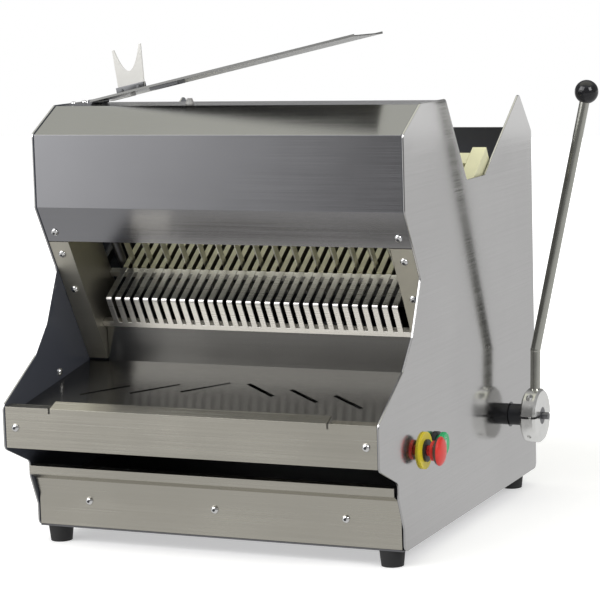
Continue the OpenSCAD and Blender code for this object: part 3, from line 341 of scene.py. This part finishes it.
def softened(node, width):
    """A copy of a node's solid with its sharp edges bevelled, standing for the node."""
    mesh = NODES[node].data.copy()
    work = bmesh.new()
    work.from_mesh(mesh)
    bmesh.ops.remove_doubles(work, verts=work.verts, dist=WELD)
    bmesh.ops.dissolve_limit(work, angle_limit=FLAT_ANGLE, verts=work.verts, edges=work.edges)
    for face in work.faces:
        face.smooth = True
    work.to_mesh(mesh)
    work.free()
    obj = bpy.data.objects.new(node + "_soft", mesh)
    bpy.context.scene.collection.objects.link(obj)
    bevel = obj.modifiers.new("edges", "BEVEL")
    bevel.width = width
    bevel.segments = 2
    bevel.limit_method = "ANGLE"
    bevel.angle_limit = EDGE_ANGLE
    bevel.use_clamp_overlap = True
    weighted = obj.modifiers.new("flats", "WEIGHTED_NORMAL")
    weighted.mode = "FACE_AREA"
    weighted.weight = 100
    view = obj.evaluated_get(bpy.context.evaluated_depsgraph_get())
    done = bpy.data.meshes.new_from_object(view)
    obj.modifiers.clear()
    obj.data = done
    settle(obj, BODY_OF[node], finish_of(node))
    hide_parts(node)


def settle(obj, body, finish):
    dress(obj, finish)
    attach(obj, body)


# Small fittings
def piece(name, work, body, slot, smooth=True):
    mesh = bpy.data.meshes.new(name)
    for face in work.faces:
        face.smooth = smooth
    work.to_mesh(mesh)
    work.free()
    if smooth:
        mesh.set_sharp_from_angle(angle=EDGE_ANGLE)
    obj = bpy.data.objects.new(name, mesh)
    bpy.context.scene.collection.objects.link(obj)
    settle(obj, body, MATERIALS[slot])


def turned_to(axis, at):
    """Matrix that carries +Z onto an axis and the origin to a point."""
    return Matrix.Translation(at) @ Vector(axis).to_track_quat("Z", "Y").to_matrix().to_4x4()


def lathe(work, profile, place, steps=24):
    """Closed turned body from radius and height pairs that start and end on the axis."""
    rings = []
    for r, z in profile:
        if r == 0:
            rings.append([work.verts.new(place @ Vector((0, 0, z)))])
        else:
            angles = [2 * math.pi * i / steps for i in range(steps)]
            round_axis = [Vector((r * math.cos(a), r * math.sin(a), z)) for a in angles]
            rings.append([work.verts.new(place @ point) for point in round_axis])
    for low, high in zip(rings, rings[1:]):
        for i in range(steps):
            j = (i + 1) % steps
            corners = [low[i % len(low)], low[j % len(low)], high[j % len(high)], high[i % len(high)]]
            work.faces.new(list(dict.fromkeys(corners)))


def block(work, low, high, place=Matrix(), chamfer=0.4 * MM):
    """Box between two corners with small chamfers."""
    size = Vector(high) - Vector(low)
    middle = (Vector(high) + Vector(low)) / 2
    made = bmesh.ops.create_cube(work, size=1.0)["verts"]
    bmesh.ops.scale(work, vec=size, verts=made)
    bmesh.ops.translate(work, vec=middle, verts=made)
    edges = list(dict.fromkeys(e for v in made for e in v.link_edges))
    rounded = bmesh.ops.bevel(work, geom=edges, offset=chamfer, segments=2, profile=0.5, affect="EDGES")
    kept = [v for v in made if v.is_valid]
    bmesh.ops.transform(work, matrix=place, verts=list(dict.fromkeys(kept + rounded["verts"])))


def screws_of(node):
    """Place of each screw of a node: the tip of its head and the direction that it faces."""
    work = bmesh.new()
    work.from_mesh(NODES[node].data)
    bmesh.ops.remove_doubles(work, verts=work.verts, dist=WELD)
    left = list(work.verts)
    found = []
    while left:
        island, edge = set(), {left[0]}
        while edge:
            island |= edge
            edge = {e.other_vert(v) for v in edge for e in v.link_edges} - island
        points = numpy.array([v.co[:] for v in left if v in island])
        left = [v for v in left if v not in island]
        middle = points.mean(axis=0)
        spread, axes = numpy.linalg.eigh(numpy.cov((points - middle).T))
        odd = 0 if abs(spread[0] - spread[1]) > abs(spread[1] - spread[2]) else 2
        axis = axes[:, odd]
        along = (points - middle) @ axis
        off = numpy.linalg.norm(points - middle - numpy.outer(along, axis), axis=1)
        ends = [off[numpy.abs(along - end) < 0.1 * MM].max() for end in (along.min(), along.max())]
        if ends[0] < ends[1]:
            axis, along = -axis, -along
        found.append((Vector(middle + axis * along.max()), Vector(axis)))
    work.free()
    return found


SOCKET_R = 2.1 * MM
SOCKET_SUNK = 0.5 * MM
SOCKET_PROUD = 0.05 * MM
SOCKET_PROFILE = [(0, -SOCKET_SUNK), (SOCKET_R, -SOCKET_SUNK), (SOCKET_R, SOCKET_PROUD), (0, SOCKET_PROUD)]


def add_socket_shades(node):
    """Painted shade: black hex discs in the heads of a node's dome screws, standing for the shade in their
    sockets.
    """
    work = bmesh.new()
    for tip, axis in screws_of(node):
        lathe(work, SOCKET_PROFILE, turned_to(axis, tip), steps=6)
    piece(node + "_socket_shades", work, BODY_OF[node], "black_plastic", smooth=False)


SCOOP_TILT = math.radians(12)


def scoop_place():
    """Matrix of the scoop plate: origin on the hinge pin, X up the plate."""
    low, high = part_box("scoop_pin")
    pin = Vector(((low[0] + high[0]) / 2, 0, (low[2] + high[2]) / 2))
    return Matrix.Translation(pin) @ Matrix.Rotation(-SCOOP_TILT, 4, "Y")


CLIP_AT = 45 * MM
CLIP_HALF = 21.5 * MM
CLIP_TOP = 12 * MM
RIVET_OFF = 13 * MM
RIVET_UP = 6.4 * MM
RIVET_PROFILE = [(0, 0), (3 * MM, 0), (2.6 * MM, 1 * MM), (0, 1.4 * MM)]


def add_fork_clip():
    """Dark spring clip round the fork's foot on the scoop plate, with two rivets in front."""
    place = scoop_place()
    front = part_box("bag_fork")[0][1]
    x0, x1 = CLIP_AT - CLIP_HALF, CLIP_AT + CLIP_HALF
    work = bmesh.new()
    block(work, (x0, front - 3 * MM, 0.9 * MM), (x1, front - 0.2 * MM, CLIP_TOP), place)
    block(work, (x0, front + 2.2 * MM, 2.9 * MM), (x1, front + 4.4 * MM, CLIP_TOP), place)
    for x in (CLIP_AT - RIVET_OFF, CLIP_AT + RIVET_OFF):
        lathe(work, RIVET_PROFILE, place @ turned_to((0, -1, 0), (x, front - 2.9 * MM, RIVET_UP)))
    piece("fork_clip", work, "scoop", "dark_paint")


HINGE_SCREW_SHARES = [(0.18, 0.2), (0.18, 0.8), (0.55, 0.5)]
HINGE_SCREW_UP = 1.9 * MM
HINGE_SCREW_PROFILE = [(0, 0), (4 * MM, 0), (3.4 * MM, 1.6 * MM), (1.8 * MM, 2.4 * MM), (0, 2.6 * MM)]


def add_hinge_screws():
    """Three low screws in the hinge leaf."""
    low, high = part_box("scoop_hinge_leaf")
    work = bmesh.new()
    for share_x, share_y in HINGE_SCREW_SHARES:
        x = low[0] + (high[0] - low[0]) * share_x
        y = low[1] + (high[1] - low[1]) * share_y
        lathe(work, HINGE_SCREW_PROFILE, turned_to((0, 0, 1), (x, y, low[2] + HINGE_SCREW_UP)))
    piece("hinge_screws", work, "casing", "chromed")


STAY_INSET = 6 * MM
STAY_WIDTH = 14 * MM
STAY_START = 34 * MM
STAY_END = 68 * MM
STAY_LIP = 1.6 * MM


def add_scoop_stay():
    """Pale bent strip under the scoop plate, beside the hinge."""
    place = scoop_place()
    y0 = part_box("bagging_scoop")[0][1] + STAY_INSET
    y1 = y0 + STAY_WIDTH
    work = bmesh.new()
    block(work, (STAY_START, y0, -5.6 * MM), (STAY_END, y1, -4.2 * MM), place)
    block(work, (STAY_END - STAY_LIP, y0, -5.2 * MM), (STAY_END, y1, -0.6 * MM), place)
    piece("scoop_stay", work, "scoop", "fork_plastic")


BAR_LOW = (-0.4 * MM, -1.4 * MM, -6 * MM)
BAR_HIGH = (0.08 * MM, 1.4 * MM, 6 * MM)
BAR_CHAMFER = 0.06 * MM
DOT_OFF = 8.4 * MM
DOT_PROFILE = [(0, -0.4 * MM), (0.9 * MM, -0.4 * MM), (0.9 * MM, 0.02 * MM), (0, 0.06 * MM)]


def add_start_mark():
    """White bar moulded into the start button's cap, with a dot beyond each end."""
    low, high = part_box("start_button")
    at = Vector((high[0], (low[1] + high[1]) / 2, (low[2] + high[2]) / 2))
    work = bmesh.new()
    block(work, BAR_LOW, BAR_HIGH, Matrix.Translation(at), BAR_CHAMFER)
    for z in (-DOT_OFF, DOT_OFF):
        lathe(work, DOT_PROFILE, turned_to((1, 0, 0), at + Vector((0, 0, z))), steps=16)
    piece("start_mark", work, "start_cap", "fork_plastic")


VENT_REACH = 100 * MM
SCREEN_MARGIN = 5 * MM
SCREEN_RIM = 3 * MM


def add_vent_screens():
    """Dark dust screens with rims at the sides, inside the rear cover over its two groups of vents."""
    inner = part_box("rear_cover")[0][1] + 0.1 * MM
    corners = [v.co for v in NODES["rear_cover"].data.vertices if abs(v.co.x) < VENT_REACH]
    work = bmesh.new()
    for side in (-1, 1):
        group = [c for c in corners if c.x * side > 0]
        x0 = min(c.x for c in group) - SCREEN_MARGIN
        x1 = max(c.x for c in group) + SCREEN_MARGIN
        z0 = min(c.z for c in group) - SCREEN_MARGIN
        z1 = max(c.z for c in group) + SCREEN_MARGIN
        block(work, (x0, inner - 1.4 * MM, z0), (x1, inner, z1))
        for x in (x0, x1 - SCREEN_RIM):
            block(work, (x, inner - SCREEN_RIM, z0), (x + SCREEN_RIM, inner - 1 * MM, z1))
    piece("vent_screens", work, "casing", "black_plastic")


# Studio
FLOOR_Z = -0.4 * MM
FLOOR_SIDE = 7.0
FLOOR_FRONT = -2.4
FLOOR_GLOW = 0.42
MIRRORED_FRONT = 0.58
MIRRORED_BACK = 0.70
WORLD_FRONT = 0.24
WORLD_LEFT = 1.9
WORLD_BACK = 0.26
WORLD_TOP = 0.66


def add_floor():
    """White floor that keeps the shadow; metal mirrors it as an even backdrop, darker towards the front."""
    mesh = bpy.data.meshes.new("floor")
    corners = [(-FLOOR_SIDE, FLOOR_FRONT), (FLOOR_SIDE, FLOOR_FRONT), (FLOOR_SIDE, FLOOR_SIDE),
               (-FLOOR_SIDE, FLOOR_SIDE)]
    mesh.from_pydata([(x, y, FLOOR_Z) for x, y in corners], [], [(0, 1, 2, 3)])
    floor = bpy.data.objects.new("floor", mesh)
    bpy.context.scene.collection.objects.link(floor)
    shader = Shader("floor", (0.86, 0.86, 0.86), 0.6)
    shader.material.cycles.emission_sampling = "NONE"
    path = shader.add("ShaderNodeLightPath")
    shader.set("Emission Color", (1, 1, 1, 1))
    place = shader.add("ShaderNodeNewGeometry").outputs["Position"]
    depth = shader.split(place)["Y"]
    apart = shader.add("ShaderNodeVectorMath", operation="LENGTH")
    shader.link(place, apart.inputs[0])
    glow = shader.ranged(apart.outputs["Value"], FLOOR_GLOW, 1.0, 0.5, 1.6, smooth=True)
    shader.drive("Emission Strength", shader.math("MULTIPLY", glow, path.outputs["Is Camera Ray"]))
    mirrored = shader.add("ShaderNodeEmission")
    shader.link(shader.ranged(depth, MIRRORED_FRONT, MIRRORED_BACK, -0.7, 0.3, smooth=True),
                mirrored.inputs["Strength"])
    both = shader.add("ShaderNodeMixShader")
    shader.link(path.outputs["Is Glossy Ray"], both.inputs[0])
    shader.link(shader.bsdf.outputs[0], both.inputs[1])
    shader.link(mirrored.outputs[0], both.inputs[2])
    shader.link(both.outputs[0], shader.tree.nodes["Material Output"].inputs["Surface"])
    dress(floor, shader.material)


def add_world():
    """Dim room with a bright front left, a soft top and a white horizon behind; the camera sees white."""
    world = bpy.data.worlds.new("studio")
    world.use_nodes = True
    bpy.context.scene.world = world
    graph = Graph(world.node_tree)
    back = world.node_tree.nodes["Background"]
    x, y, z = graph.split(graph.add("ShaderNodeTexCoord").outputs["Generated"])
    depth = graph.ranged(y, WORLD_FRONT, WORLD_BACK, -0.4, 0.6, smooth=True)
    left = graph.math("MULTIPLY", graph.ranged(x, WORLD_LEFT, 0.0, -0.54, -0.34),
                      graph.ranged(y, 1.0, 0.0, -0.5, -0.2, smooth=True))
    left = graph.math("MULTIPLY", left, graph.ranged(z, 0.5, 1.0, -0.14, -0.05))
    top = graph.ranged(z, 0.0, WORLD_TOP, 0.40, 0.85, smooth=True)
    low = graph.math("MULTIPLY", graph.ranged(z, 1.0, 0.0, 0.02, 0.10, smooth=True),
                     graph.ranged(y, 0.0, 1.0, 0.2, 0.6, smooth=True))
    light = graph.math("MAXIMUM", graph.math("MAXIMUM", depth, top), graph.math("MAXIMUM", left, low))
    path = graph.add("ShaderNodeLightPath")
    light = graph.math("MAXIMUM", light, path.outputs["Is Camera Ray"])
    back.inputs["Color"].default_value = (1, 1, 1, 1)
    graph.link(light, back.inputs["Strength"])


def add_light(name, at, aim, size, power, color=(1, 1, 1)):
    data = bpy.data.lights.new(name, "AREA")
    data.shape = "RECTANGLE"
    data.size, data.size_y = size
    data.energy = power
    data.color = color
    light = bpy.data.objects.new(name, data)
    light.location = at
    light.rotation_euler = (Vector(aim) - Vector(at)).to_track_quat("-Z", "Y").to_euler()
    bpy.context.scene.collection.objects.link(light)


def add_studio():
    bpy.context.scene.view_settings.view_transform = "Standard"
    add_floor()
    add_world()
    add_light("left", (-1.05, -1.80, 2.05), (0, -0.15, 0.3), (2.4, 1.8), 40)
    add_light("right", (2.4, -1.2, 1.9), (0, 0, 0.3), (1.2, 1.4), 30)
    add_light("top", (0.0, 0.3, 2.7), (0, 0, 0.3), (3.6, 1.8), 10, (1.0, 1.0, 0.70))


SHEET_EDGE = 0.4 * MM
PANEL_EDGE = 0.7 * MM
SOFT_NODES = {
    "left_side_panel": PANEL_EDGE, "right_side_panel": PANEL_EDGE, "front_hood": SHEET_EDGE,
    "front_rail": SHEET_EDGE, "outfeed_comb": SHEET_EDGE, "drawer_front": SHEET_EDGE,
    "rear_cover": SHEET_EDGE, "rear_guard": SHEET_EDGE, "bread_bed": PANEL_EDGE,
    "pusher_cheeks": PANEL_EDGE,
}

add_camera()
dress_nodes()
for soft_node, edge_width in SOFT_NODES.items():
    softened(soft_node, edge_width)
# Painted shade in the screw sockets
for screw_node in ("dome_screws", "drawer_screws"):
    add_socket_shades(screw_node)
add_fork_clip()
add_hinge_screws()
add_scoop_stay()
add_start_mark()
add_vent_screens()
add_studio()
